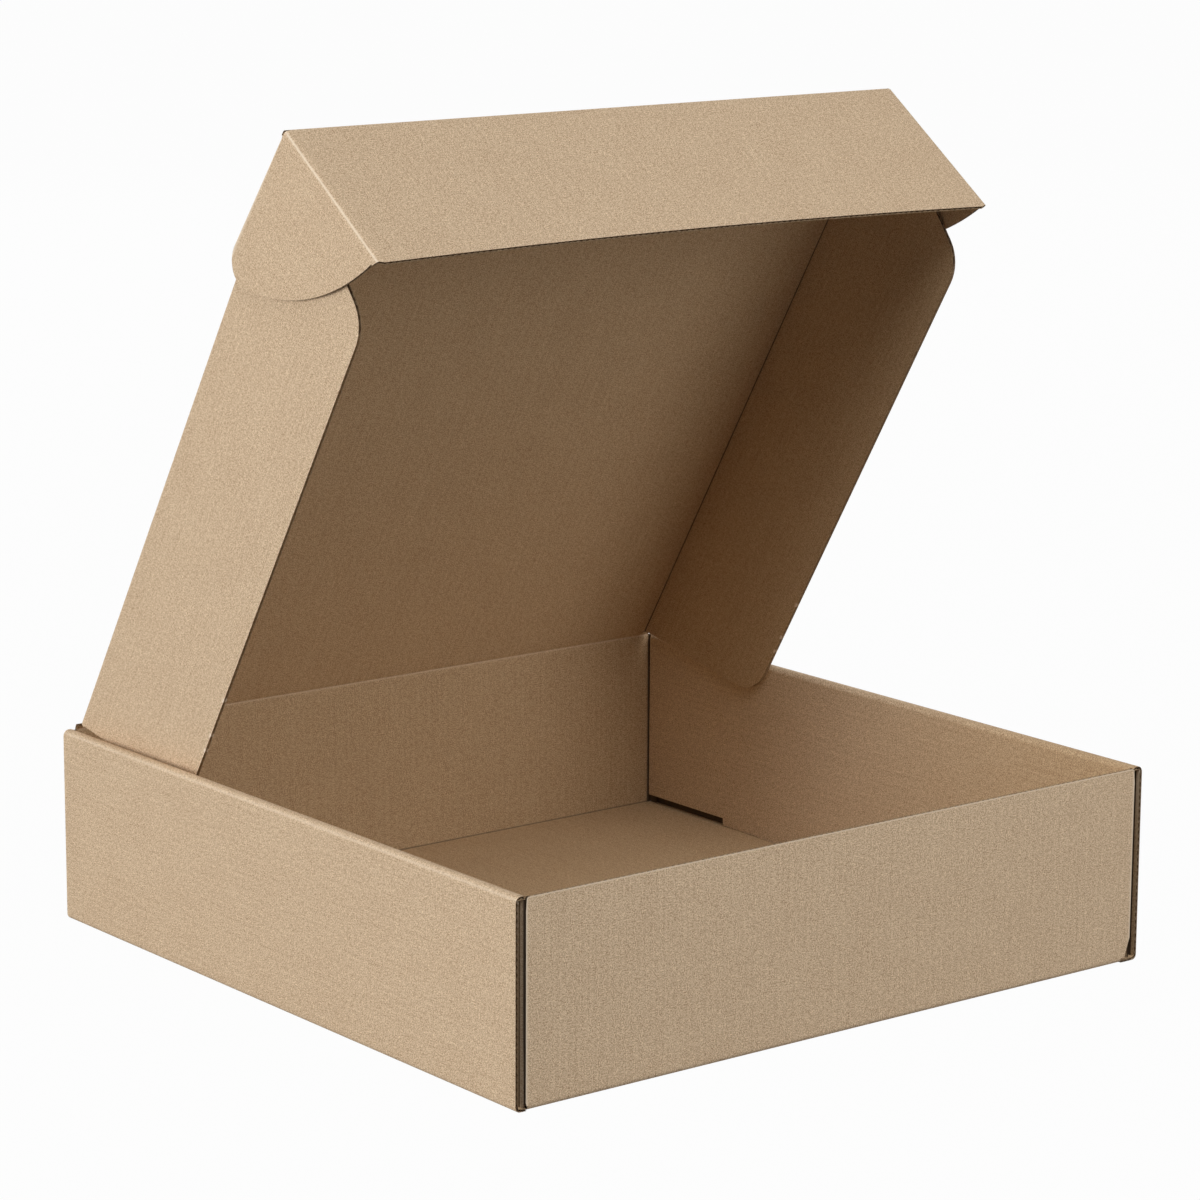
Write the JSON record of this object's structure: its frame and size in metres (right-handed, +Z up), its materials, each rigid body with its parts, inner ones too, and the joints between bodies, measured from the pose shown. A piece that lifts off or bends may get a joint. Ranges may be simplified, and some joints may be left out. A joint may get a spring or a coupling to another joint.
{
  "type": "bottle shipping box",
  "caption": "Corrugated roll-end mailer tray with double side walls and an attached lid, whose tuck flap, ears and side flaps lock it shut round bottles laid flat.",
  "frame": {"origin": "middle of the tray's underside, which is also the middle of the whole box's footprint", "axes": "+Z up, -Y towards the front wall that the tuck flap goes behind, +Y towards the lid's hinge crease, +X to the right seen from the front"},
  "size_m": [0.35, 0.346, 0.3793],
  "materials": {
    "tray_board": "matt",
    "lid_board": "matt",
    "flap_board": "matt",
    "tuck_board": "matt",
    "ear_board": "matt"
  },
  "bodies": {
    "tray": {"tray": "tray_board"},
    "lid": {"lid": "lid_board"},
    "left_side_flap": {"left_side_flap": "flap_board"},
    "right_side_flap": {"right_side_flap": "flap_board"},
    "tuck_flap": {"tuck_flap": "tuck_board"},
    "left_ear": {"left_ear": "ear_board"},
    "right_ear": {"right_ear": "ear_board"}
  },
  "joints": [
    {"name": "lid_hinge", "type": "hinge", "parent": "tray", "child": "lid", "pos_m": [0, 0.1715, 0.0893], "axis": [-1, 0, 0], "range_deg": [-58.7, 121.3]},
    {"name": "tuck_flap_hinge", "type": "hinge", "parent": "lid", "child": "tuck_flap", "pos_m": [0, -0.00389, 0.37777], "axis": [-1, 0, 0], "range_deg": [-15.5, 94.5]},
    {"name": "left_side_flap_hinge", "type": "hinge", "parent": "lid", "child": "left_side_flap", "pos_m": [-0.1652, 0.1715, 0.0893], "axis": [0, -0.5195, 0.8545], "range_deg": [0, 80]},
    {"name": "right_side_flap_hinge", "type": "hinge", "parent": "lid", "child": "right_side_flap", "pos_m": [0.1652, 0.1715, 0.0893], "axis": [0, 0.5195, -0.8545], "range_deg": [0, 80]},
    {"name": "left_ear_hinge", "type": "hinge", "parent": "tuck_flap", "child": "left_ear", "pos_m": [-0.167, -0.00389, 0.37777], "axis": [0, 0.8111, 0.585], "range_deg": [0, 90]},
    {"name": "right_ear_hinge", "type": "hinge", "parent": "tuck_flap", "child": "right_ear", "pos_m": [0.167, -0.00389, 0.37777], "axis": [0, -0.8111, -0.585], "range_deg": [0, 90]}
  ]
}
